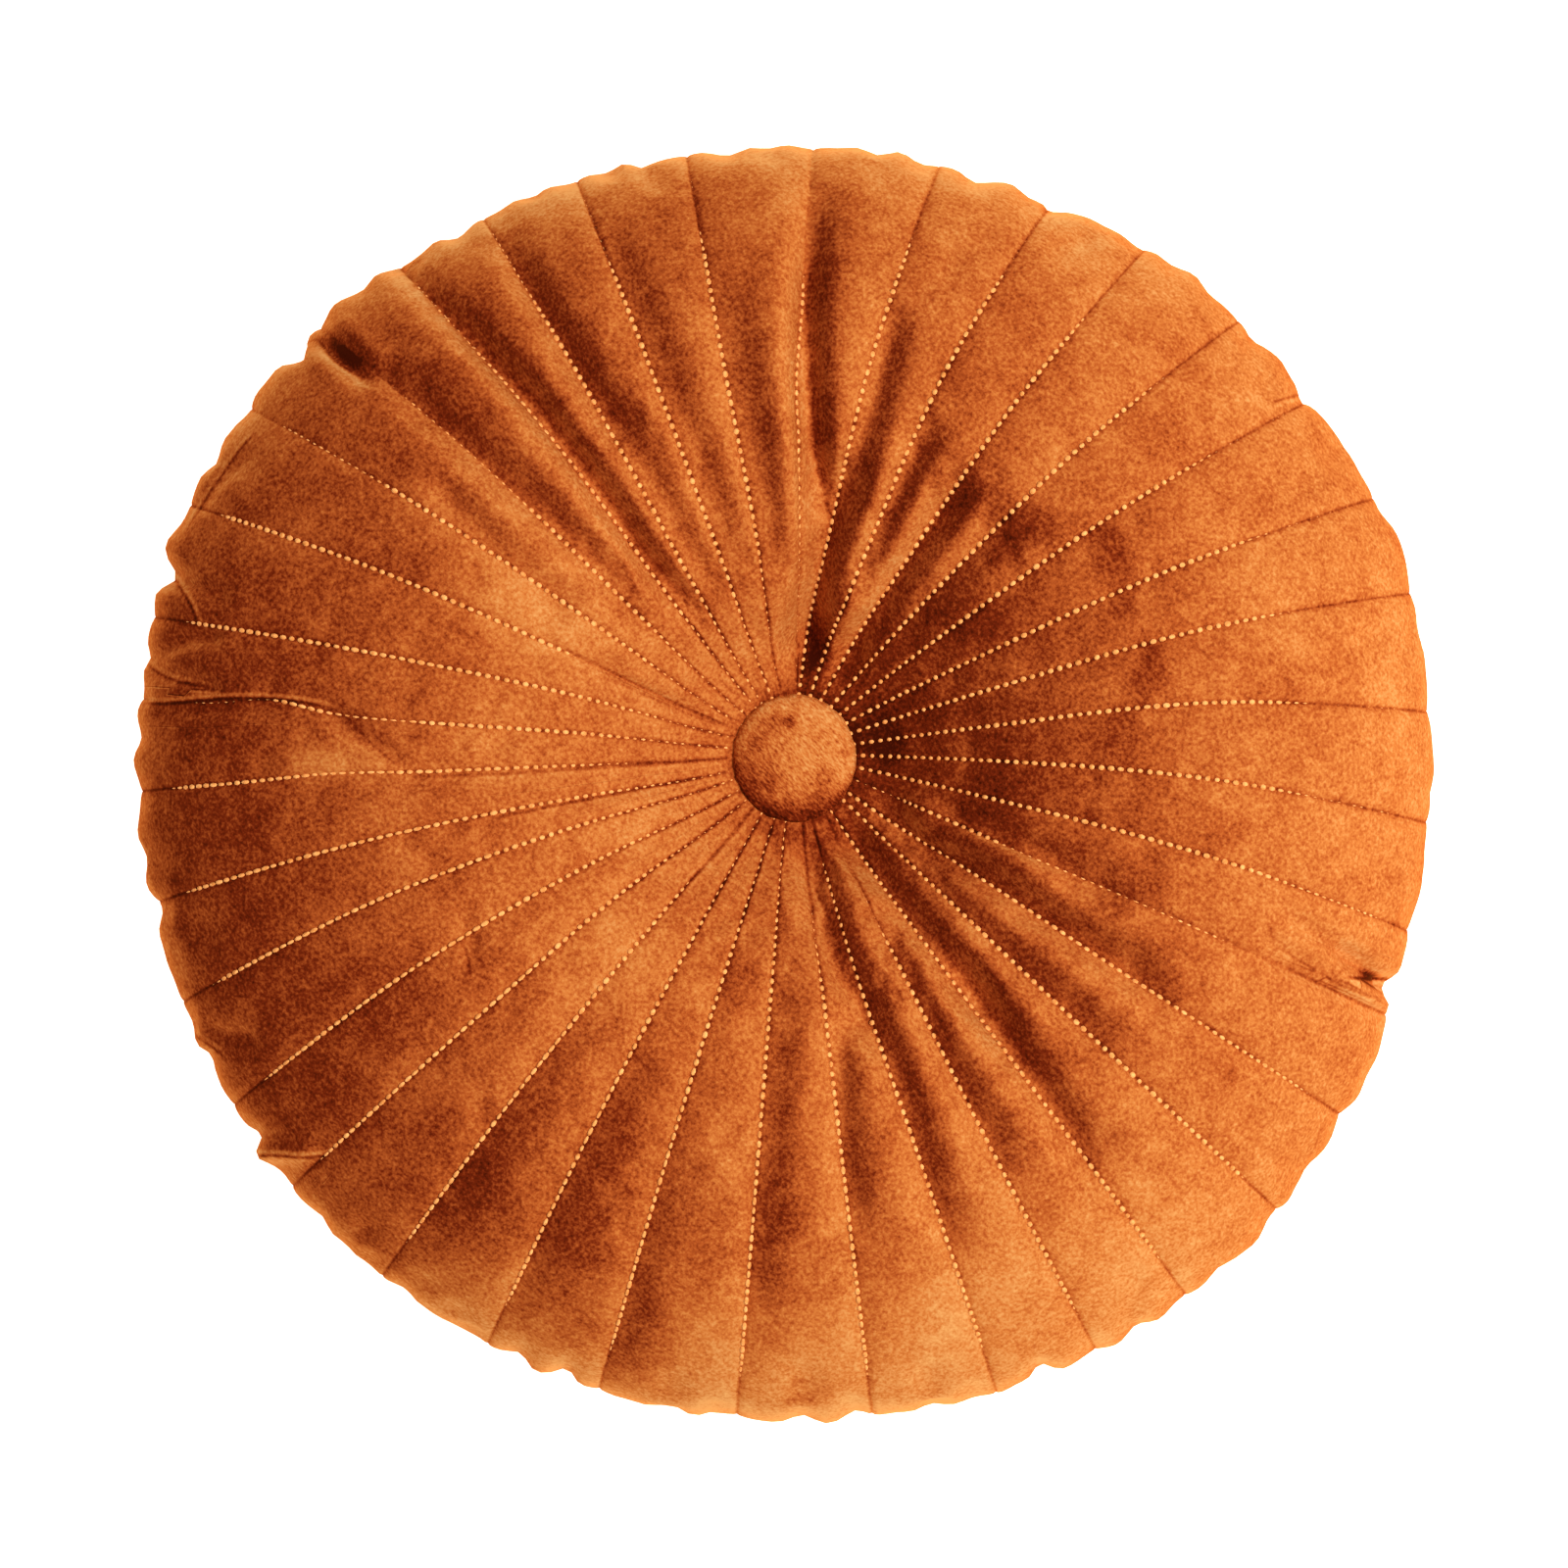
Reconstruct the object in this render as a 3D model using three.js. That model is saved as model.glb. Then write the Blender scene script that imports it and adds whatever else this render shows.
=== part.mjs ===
// Round pleated velvet cushion, lying on its back, with a covered button drawn into each side.
// Millimetres, +Z up. The face points up, and a plan view has +X to the right and +Y away.
// The cover is a tube of velvet with lengthwise seams, drawn in to a point on each side, so the
// seams run from one button round the rim to the other, and the cloth swells between them.

import * as THREE from "three";

// Driving sizes.
const NOMINAL_RADIUS = 187; // from the gather point to the rim, before the uneven reach of each swell
const BUTTON_RADIUS = 17.9;
const BUTTON_HEIGHT = 8.4;
const BUTTON_EDGE = 3.2; // height of the button's side before its dome
const BUTTON_OFFSET = new THREE.Vector2(0, -2.3); // a button isn't sewn on quite over the gather
const GAP = 0.3; // between a button's back and the cloth that it pulls in

// Heights over the surface that the cushion lies on.
const FRONT_GATHER = 63; // cloth under the front button
const FRONT_CROWN = 96.5;
const RIM_HEIGHT = 44;
const BACK_GATHER = 28; // cloth over the back button
const REST_SINK = -1.2; // the back would reach this low if nothing pressed it flat

// The half outline of a cut through the axis, from the front gather round the rim to the back gather.
const HALF_OUTLINE = [
  { radius: 0, height: FRONT_GATHER },
  { radius: 13, height: FRONT_GATHER },
  { radius: 21, height: FRONT_GATHER + 0.2 },
  { radius: 30, height: 69 },
  { radius: 46, height: 80.5 },
  { radius: 66, height: 90.5 },
  { radius: 88, height: 95.5 },
  { radius: 108, height: FRONT_CROWN },
  { radius: 128, height: 94 },
  { radius: 148, height: 87.5 },
  { radius: 165, height: 77.5 },
  { radius: 178, height: 64.5 },
  { radius: 185, height: 52 },
  { radius: NOMINAL_RADIUS, height: RIM_HEIGHT - 4 },
  { radius: 181.5, height: 25.5 },
  { radius: 168, height: 12.5 },
  { radius: 150, height: 3.8 },
  { radius: 131, height: REST_SINK },
  { radius: 109, height: REST_SINK - 0.8 },
  { radius: 88, height: REST_SINK + 0.4 },
  { radius: 66, height: 4 },
  { radius: 46, height: 12.5 },
  { radius: 30, height: 22 },
  { radius: 21, height: BACK_GATHER - 0.2 },
  { radius: 13, height: BACK_GATHER },
  { radius: 0, height: BACK_GATHER },
];

// One row for each seam and the swell that follows it anticlockwise. The seam's bearing in
// degrees is given near the button (hub), over the crown and at the rim. reach is how far the
// swell stands out from the gather point at the rim, and swell how high it puffs over the crown.
const SEAMS = [
  { hub: 8.1, crown: 7.0, rim: 3.9, reach: 186.5, swell: 2.7 },
  { hub: 18.5, crown: 17.1, rim: 14.7, reach: 187.5, swell: 2.6 },
  { hub: 28.0, crown: 26.1, rim: 23.9, reach: 184.0, swell: 2.8 },
  { hub: 39.3, crown: 37.0, rim: 34.6, reach: 182.5, swell: 2.8 },
  { hub: 50.0, crown: 47.3, rim: 44.1, reach: 182.0, swell: 3.8 },
  { hub: 60.7, crown: 58.1, rim: 55.4, reach: 179.0, swell: 3.4 },
  { hub: 71.0, crown: 68.8, rim: 65.3, reach: 177.7, swell: 4.2 },
  { hub: 81.8, crown: 79.1, rim: 76.3, reach: 178.4, swell: 5.2 },
  { hub: 86.2, crown: 89.3, rim: 88.4, reach: 178.3, swell: 3.4 },
  { hub: 100.6, crown: 100.5, rim: 100.3, reach: 179.2, swell: 3.2 },
  { hub: 111.3, crown: 110.6, rim: 110.8, reach: 181.4, swell: 4.0 },
  { hub: 121.3, crown: 120.0, rim: 120.2, reach: 182.3, swell: 5.0 },
  { hub: 128.9, crown: 127.7, rim: 128.9, reach: 187.0, swell: 3.8 },
  { hub: 139.3, crown: 137.3, rim: 138.1, reach: 189.0, swell: 3.4 },
  { hub: 148.9, crown: 146.6, rim: 147.4, reach: 191.0, swell: 2.8 },
  { hub: 156.9, crown: 156.3, rim: 157.6, reach: 193.4, swell: 2.8 },
  { hub: 165.3, crown: 166.7, rim: 167.9, reach: 192.3, swell: 2.6 },
  { hub: 174.9, crown: 175.4, rim: 174.6, reach: 192.9, swell: 2.8 },
  { hub: 183.3, crown: 183.0, rim: 183.3, reach: 193.2, swell: 2.8 },
  { hub: 191.4, crown: 191.6, rim: 193.1, reach: 193.5, swell: 2.6 },
  { hub: 199.0, crown: 199.5, rim: 202.0, reach: 194.3, swell: 2.8 },
  { hub: 208.9, crown: 209.4, rim: 212.3, reach: 194.6, swell: 3.0 },
  { hub: 219.1, crown: 219.8, rim: 220.7, reach: 195.5, swell: 3.0 },
  { hub: 230.6, crown: 230.6, rim: 231.7, reach: 195.2, swell: 3.0 },
  { hub: 241.4, crown: 241.5, rim: 242.5, reach: 195.5, swell: 3.0 },
  { hub: 252.6, crown: 252.5, rim: 252.9, reach: 196.2, swell: 3.0 },
  { hub: 263.6, crown: 264.7, rim: 265.0, reach: 195.8, swell: 3.4 },
  { hub: 276.2, crown: 276.6, rim: 276.6, reach: 196.2, swell: 3.8 },
  { hub: 284.9, crown: 287.0, rim: 287.5, reach: 197.2, swell: 4.6 },
  { hub: 295.4, crown: 296.4, rim: 296.8, reach: 196.6, swell: 4.2 },
  { hub: 303.4, crown: 305.3, rim: 305.6, reach: 196.9, swell: 5.0 },
  { hub: 315.6, crown: 316.3, rim: 316.6, reach: 193.7, swell: 4.0 },
  { hub: 325.0, crown: 326.5, rim: 326.4, reach: 192.3, swell: 4.4 },
  { hub: 336.3, crown: 336.3, rim: 336.4, reach: 188.6, swell: 3.2 },
  { hub: 347.2, crown: 346.3, rim: 344.4, reach: 187.1, swell: 2.8 },
  { hub: 357.9, crown: 356.7, rim: 353.9, reach: 186.9, swell: 2.7 },
];

// Tucks where the velvet is caught at the rim: bearing and width in degrees, depth in millimetres.
const TUCKS = [
  { at: 35.0, wide: 2.0, deep: 1.6 },
  { at: 64.6, wide: 2.0, deep: 2.2 },
  { at: 72.0, wide: 2.2, deep: 1.5 },
  { at: 96.5, wide: 1.8, deep: 1.8 },
  { at: 105.0, wide: 1.8, deep: 1.8 },
  { at: 141.2, wide: 1.9, deep: 3.0 },
  { at: 164.6, wide: 2.2, deep: 3.0 },
  { at: 194.0, wide: 2.2, deep: 1.4 },
  { at: 207.2, wide: 2.4, deep: 1.6 },
  { at: 216.0, wide: 2.0, deep: 2.2 },
  { at: 249.6, wide: 2.2, deep: 3.4 },
  { at: 262.4, wide: 2.0, deep: 1.8 },
  { at: 292.2, wide: 1.8, deep: 4.2 },
  { at: 338.6, wide: 2.0, deep: 3.6 },
];

// How a seam's three bearings are spread: these radii are where each one holds.
const HUB_RADIUS = 43;
const CROWN_RADIUS = 115;
const RIM_SEAM_DEPTH = 1.1; // how far a seam draws the rim in
const CHANNEL_SHARE = 0.35; // the share of a swell's height that lies below the mean surface
const RIM_SWELL = 0.55; // a swell's height at the rim, as a share of its height over the crown
const TUCK_REACH = 26; // how far a tuck runs up and down from the rim, in height

// How finely the cover and the buttons are faceted. The cover has a ring at each row above.
const STEPS_PER_SWELL = 5;
const STEPS_ALONG = HALF_OUTLINE.length - 1;
const BUTTON_SIDES = 40;
const DOME_STEPS = 7;

const halfOutline = new THREE.SplineCurve(
  HALF_OUTLINE.map((p) => new THREE.Vector2(p.radius, p.height)),
);

const radians = THREE.MathUtils.degToRad;
const smooth = THREE.MathUtils.smoothstep;

// Degrees from one bearing to another, the short way round.
function bearingGap(from, to) {
  return THREE.MathUtils.euclideanModulo(to - from + 180, 360) - 180;
}

// The bearing of a seam where the half outline has this radius, on the front or the back.
function seamBearing(index, radius, onFront) {
  const seam = SEAMS[index];
  const outer = smooth(radius, CROWN_RADIUS, NOMINAL_RADIUS);
  if (onFront) {
    const inner = smooth(radius, HUB_RADIUS, CROWN_RADIUS);
    return (
      seam.hub +
      bearingGap(seam.hub, seam.crown) * inner +
      bearingGap(seam.crown, seam.rim) * outer
    );
  }
  const even = (index + 0.5) * (360 / SEAMS.length);
  return even + bearingGap(even, seam.rim) * smooth(radius, 0, NOMINAL_RADIUS);
}

// How far all the tucks together draw the cloth in at a bearing.
function tuckDepth(bearing) {
  return TUCKS.reduce((sum, tuck) => {
    const off = bearingGap(tuck.at, bearing) / (tuck.wide / 2);
    return sum + tuck.deep * Math.exp(-off * off);
  }, 0);
}

// A swell's cross-section: nought at both seams and one in the middle.
function puff(across) {
  return 4 * across * (1 - across);
}

// A swell's height along the half outline, as a share of its height over the crown: tight
// near the gather, where the seams are close together, and shallow round the rim.
function swellShare(radius) {
  const fromGather = smooth(radius, 20, 78);
  const towardsRim = smooth(radius, 120, NOMINAL_RADIUS);
  return fromGather * THREE.MathUtils.lerp(1, RIM_SWELL, towardsRim);
}

// The reach of the rim part way across a swell, eased from one swell to the next.
function reachAt(index, across) {
  const own = SEAMS[index].reach;
  const side = across < 0.5 ? index - 1 : index + 1;
  const beside = SEAMS[(side + SEAMS.length) % SEAMS.length].reach;
  return THREE.MathUtils.lerp(own, beside, Math.abs(across - 0.5));
}

// A point of the cover: across a swell from 0 to 1, and along the half outline from 0 to 1.
function coverPoint(index, across, along) {
  const on = halfOutline.getPoint(along);
  const tangent = halfOutline.getTangent(along);
  const onFront = along < 0.5;
  const next = (index + 1) % SEAMS.length;
  const from = seamBearing(index, on.x, onFront);
  const to = seamBearing(next, on.x, onFront);
  const bearing = from + bearingGap(from, to) * across;

  const spread = smooth(on.x, HUB_RADIUS / 2, NOMINAL_RADIUS);
  const stretch = reachAt(index, across) / NOMINAL_RADIUS;
  let radius = on.x * THREE.MathUtils.lerp(1, stretch, spread);
  const nearRim = 1 - smooth(Math.abs(on.y - RIM_HEIGHT), 0, TUCK_REACH);
  radius -= nearRim * (tuckDepth(bearing) + RIM_SEAM_DEPTH * (1 - puff(across)));

  const rise = SEAMS[index].swell * swellShare(on.x) * (puff(across) - CHANNEL_SHARE);
  radius -= tangent.y * rise * (1 - nearRim);
  const height = Math.max(0, on.y + tangent.x * rise);
  return new THREE.Vector3(
    radius * Math.cos(radians(bearing)),
    radius * Math.sin(radians(bearing)),
    height,
  );
}

// The filled cover: rings of points round the axis, closed by a fan of faces at each gather.
function padGeometry() {
  const around = SEAMS.length * STEPS_PER_SWELL;
  const points = [];
  for (let row = 1; row < STEPS_ALONG; row++) {
    for (let column = 0; column < around; column++) {
      const index = Math.floor(column / STEPS_PER_SWELL);
      const across = (column % STEPS_PER_SWELL) / STEPS_PER_SWELL;
      points.push(coverPoint(index, across, row / STEPS_ALONG));
    }
  }
  const frontPole = points.push(new THREE.Vector3(0, 0, FRONT_GATHER)) - 1;
  const backPole = points.push(new THREE.Vector3(0, 0, BACK_GATHER)) - 1;

  const faces = [];
  const lastRing = (STEPS_ALONG - 2) * around;
  for (let column = 0; column < around; column++) {
    const beside = (column + 1) % around;
    faces.push(frontPole, column, beside);
    for (let ring = 0; ring < lastRing; ring += around) {
      const below = ring + around;
      faces.push(ring + column, below + column, below + beside);
      faces.push(ring + column, below + beside, ring + beside);
    }
    faces.push(backPole, lastRing + beside, lastRing + column);
  }
  const geometry = new THREE.BufferGeometry().setFromPoints(points);
  geometry.setIndex(faces);
  geometry.computeVertexNormals();
  geometry.computeBoundingBox();
  return geometry;
}

// A covered button: a flat back, a short rounded side and a low dome, turned about its axis.
function buttonGeometry() {
  const profile = [
    new THREE.Vector2(0, 0),
    new THREE.Vector2(BUTTON_RADIUS - 1.4, 0),
    new THREE.Vector2(BUTTON_RADIUS - 0.3, 1),
  ];
  for (let step = 0; step <= DOME_STEPS; step++) {
    const turn = (step / DOME_STEPS) * (Math.PI / 2);
    profile.push(
      new THREE.Vector2(
        BUTTON_RADIUS * Math.cos(turn),
        BUTTON_EDGE + (BUTTON_HEIGHT - BUTTON_EDGE) * Math.sin(turn),
      ),
    );
  }
  profile[profile.length - 1].x = 0;
  const geometry = new THREE.LatheGeometry(profile, BUTTON_SIDES);
  geometry.rotateX(Math.PI / 2); // the lathe's axis is +Y, and the button's is +Z
  return geometry;
}

function velvet(colour) {
  return new THREE.MeshStandardMaterial({ color: colour, roughness: 0.9, metalness: 0 });
}

function mesh(name, geometry, material) {
  const made = new THREE.Mesh(geometry, material);
  made.name = name;
  return made;
}

const pad = mesh("cushion_pad", padGeometry(), velvet(0xc9621f));

const frontButton = mesh("front_button", buttonGeometry(), velvet(0xbf5c1e));
frontButton.position.set(BUTTON_OFFSET.x, BUTTON_OFFSET.y, FRONT_GATHER + 0.2 + GAP);

const backButton = mesh("back_button", buttonGeometry(), velvet(0xbf5c1e));
backButton.rotation.x = Math.PI;
backButton.position.set(0, 0, BACK_GATHER - 0.2 - GAP);

// The gather point is a little off the middle of the outline, so the whole is moved to stand
// with the middle of its base on the origin.
const middle = pad.geometry.boundingBox.getCenter(new THREE.Vector3());
const placed = new THREE.Group();
placed.position.set(-middle.x, -middle.y, 0);
placed.add(pad, frontButton, backButton);

const cushion = new THREE.Group();
cushion.add(placed);

export default cushion;
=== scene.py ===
"""Looks of a round pleated velvet cushion, lying on its back and seen straight down onto its face.

Sizes are in millimetres until a mesh is made. A bearing is in degrees, anticlockwise from +X as
the face is seen, about the point that the velvet is gathered to.
"""

import math
from collections import namedtuple

import bpy
import numpy as np
from mathutils import Matrix, Vector


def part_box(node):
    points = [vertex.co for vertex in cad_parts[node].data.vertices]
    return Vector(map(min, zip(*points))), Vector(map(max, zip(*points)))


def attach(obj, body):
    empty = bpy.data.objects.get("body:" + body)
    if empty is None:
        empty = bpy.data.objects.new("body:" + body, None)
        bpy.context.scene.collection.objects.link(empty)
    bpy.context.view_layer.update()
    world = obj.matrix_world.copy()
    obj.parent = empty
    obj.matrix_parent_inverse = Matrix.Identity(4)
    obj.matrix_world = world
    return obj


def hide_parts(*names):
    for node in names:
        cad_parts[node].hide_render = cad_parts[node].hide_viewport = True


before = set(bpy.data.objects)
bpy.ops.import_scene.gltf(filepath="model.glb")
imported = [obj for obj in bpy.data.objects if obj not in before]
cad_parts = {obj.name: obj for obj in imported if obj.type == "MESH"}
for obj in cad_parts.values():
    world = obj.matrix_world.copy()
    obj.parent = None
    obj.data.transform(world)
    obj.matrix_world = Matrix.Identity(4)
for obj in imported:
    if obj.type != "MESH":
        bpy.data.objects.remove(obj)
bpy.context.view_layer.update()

MM = 0.001

# The construction's own sizes. The gathers, the crown and the rim are given by their heights.
NOMINAL_RADIUS = 187.0
BUTTON_RADIUS = 17.9
BUTTON_HEIGHT = 8.4
FRONT_GATHER = 63.0
FRONT_CROWN = 96.5
RIM_HEIGHT = 44.0
BACK_GATHER = 28.0
REST_SINK = -1.2  # about the outline's height where it rests, before the floor presses it flat
HUB_RADIUS = 43.0
RIM_SEAM_DEPTH = 1.1
CHANNEL_SHARE = 0.35  # the share of a swell's height that lies below the outline
TUCK_REACH = 26.0

# Shares of a swell's height: over the whole cover, and of that share near the button and at the rim.
FACE_SWELL = 0.4
HUB_SWELL = 0.2
RIM_SWELL = 0.8

# The rim's ripple: its depth, and each wave's count round the rim, strength and phase.
RIM_RIPPLE = 0.45
RIM_WAVES = ((71, 1.0, 0.0), (97, 0.7, 1.3), (58, 0.5, 4.0))

# How far the button is drawn down into the velvet, which closes up round its edge, and how dark the
# painted shadow is on the velvet round that edge.
BUTTON_SINK = 2.2
BUTTON_SHADE = 1.5
BUTTON_TALL = 1.04  # the covered button is a little longer away from the viewer than across
BUTTON_SHIFT = 0.7  # and its middle lies this far beyond the solid button's
BUTTON_EDGE = 1.6  # the bend at its edge is centred this far in

# The half outline of a cut through the axis: radius and height, from the front gather to the back.
HALF_OUTLINE = np.array([
    (0, FRONT_GATHER),
    (13, FRONT_GATHER),
    (18.5, FRONT_GATHER + 1.8),
    (30, 69.6),
    (46, 80.5),
    (66, 90.5),
    (88, 95.5),
    (108, FRONT_CROWN),
    (128, 94),
    (148, 87.5),
    (165, 77.5),
    (178, 64.5),
    (185, 52),
    (NOMINAL_RADIUS, RIM_HEIGHT - 4),
    (181.5, 25.5),
    (168, 12.5),
    (150, 3.8),
    (131, REST_SINK),
    (109, REST_SINK - 0.8),
    (88, REST_SINK + 0.4),
    (66, 4),
    (46, 12.5),
    (30, 22),
    (21, BACK_GATHER - 0.2),
    (13, BACK_GATHER),
    (0, BACK_GATHER),
])

# One row for each seam and the swell that follows it: the seam's bearing where SEAM_RADII says,
# the swell's reach at the rim and its height over the crown.
SEAM_RADII = (28.75, 57.5, 115.0, NOMINAL_RADIUS)
Seam = namedtuple("Seam", "hub inner crown rim reach swell")
SEAMS = [Seam(*row) for row in (
    (8.3, 7.8, 7.0, 3.9, 186.5, 1.5),
    (19.0, 18.0, 17.0, 14.7, 187.5, 1.5),
    (29.3, 27.6, 26.1, 23.9, 184.0, 1.6),
    (39.9, 38.5, 36.8, 34.6, 182.5, 1.7),
    (51.0, 49.3, 47.2, 44.4, 182.0, 1.9),
    (62.5, 60.1, 58.0, 55.4, 179.0, 1.8),
    (73.4, 70.6, 68.7, 65.2, 177.7, 2.0),
    (84.3, 81.3, 79.1, 76.3, 178.4, 2.2),
    (88.4, 88.4, 89.2, 88.2, 178.3, 2.2),
    (102.2, 100.2, 100.4, 100.2, 179.2, 1.9),
    (112.0, 110.9, 110.6, 110.8, 181.4, 2.0),
    (122.5, 121.0, 119.8, 120.2, 182.3, 2.1),
    (130.0, 128.6, 127.6, 129.0, 187.0, 1.9),
    (141.0, 138.6, 137.2, 138.1, 189.0, 1.9),
    (150.5, 147.7, 146.6, 147.6, 191.0, 1.6),
    (157.8, 156.6, 156.2, 157.6, 193.4, 1.6),
    (165.9, 165.3, 166.6, 167.9, 192.3, 1.5),
    (175.3, 174.8, 175.4, 175.2, 192.9, 1.6),
    (184.2, 183.4, 183.0, 183.3, 193.2, 1.5),
    (194.5, 191.8, 191.5, 193.1, 193.5, 1.5),
    (202.0, 198.8, 199.2, 202.0, 194.3, 1.5),
    (212.0, 208.7, 209.3, 212.0, 194.6, 1.6),
    (222.5, 219.0, 219.8, 220.7, 195.5, 1.7),
    (231.5, 230.4, 230.7, 231.7, 195.2, 1.7),
    (241.3, 241.2, 241.6, 242.5, 195.5, 1.7),
    (252.7, 252.3, 252.5, 252.9, 196.2, 1.7),
    (263.0, 264.1, 264.8, 265.0, 195.8, 1.8),
    (275.9, 276.6, 276.6, 276.7, 196.2, 1.9),
    (284.2, 285.2, 287.0, 287.5, 197.2, 2.1),
    (296.3, 296.1, 296.3, 296.8, 196.6, 2.0),
    (302.8, 304.2, 305.4, 305.8, 196.9, 2.1),
    (316.0, 316.2, 316.3, 316.6, 193.7, 1.9),
    (324.2, 325.9, 326.2, 326.5, 192.3, 2.0),
    (336.3, 336.3, 336.4, 336.2, 188.6, 1.6),
    (347.2, 346.9, 346.1, 344.0, 187.1, 1.5),
    (358.0, 357.7, 356.5, 353.9, 186.9, 1.5),
)]
SWELLS = len(SEAMS)

# Seams that bend: which seam, the radius of the bend's middle, its half length and the degrees.
Bend = namedtuple("Bend", "seam radius long turn")
BENDS = [
    Bend(17, 146, 13, -1.1),
    Bend(18, 128, 20, -0.4),
    Bend(8, 106, 16, 0.5),
]

# Stretches of a seam where the pile closes over the thread: which seam, from what radius to what
# radius, and how much deeper the thread lies there. Rows that overlap add up.
Hidden = namedtuple("Hidden", "seam near far deep")
HIDDEN = [Hidden(*row) for row in (
    (8, 0, 86, 0.5),
    (8, 134, 190, 0.8),
    (9, 0, 60, 0.3),
    (12, 108, 190, 0.3),
    (13, 102, 190, 0.6),
    (13, 158, 190, 0.7),
    (14, 138, 190, 0.55),
    (15, 0, 70, 0.8),
    (17, 106, 134, 0.5),
    (17, 148, 190, 0.7),
    (18, 0, 112, 0.25),
    (18, 112, 140, 0.4),
    (23, 0, 46, 0.6),
    (27, 0, 66, 0.4),
    (28, 0, 34, 0.5),
    (29, 0, 60, 0.6),
    (30, 0, 28, 0.4),
    (31, 0, 190, 0.15),
    (32, 46, 190, 0.3),
    (33, 0, 34, 0.5),
    (33, 62, 190, 0.6),
)]

# Tucks where the velvet is caught at the rim: bearing and width in degrees, and depth.
Tuck = namedtuple("Tuck", "at wide deep")
TUCKS = [Tuck(*row) for row in (
    (29.0, 2.0, 0.8),
    (35.0, 2.0, 1.6),
    (42.5, 2.2, 1.3),
    (64.6, 2.0, 2.2),
    (72.6, 2.2, 1.7),
    (82.0, 2.4, 0.6),
    (95.4, 2.8, 1.8),
    (104.8, 1.8, 2.0),
    (115.0, 2.0, 0.8),
    (123.6, 2.0, 0.9),
    (132.6, 2.0, 1.0),
    (141.2, 2.6, 4.8),
    (150.4, 1.8, 1.0),
    (153.6, 1.6, 1.1),
    (164.2, 2.4, 4.6),
    (171.6, 1.6, 1.6),
    (179.0, 2.0, 0.8),
    (188.6, 2.4, 0.5),
    (194.0, 2.2, 1.4),
    (207.2, 1.8, 1.8),
    (215.6, 1.5, 2.4),
    (224.6, 1.8, 1.0),
    (227.6, 1.6, 0.9),
    (236.4, 2.0, 0.9),
    (245.6, 1.8, 1.4),
    (249.8, 2.0, 3.0),
    (258.0, 2.2, 0.6),
    (262.6, 2.0, 1.8),
    (270.6, 2.2, 0.7),
    (275.4, 2.0, 1.4),
    (281.6, 2.2, 0.7),
    (291.9, 2.2, 5.0),
    (301.0, 2.0, 0.7),
    (309.6, 2.2, 1.0),
    (321.4, 2.0, 0.9),
    (338.5, 2.4, 4.2),
)]

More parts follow.
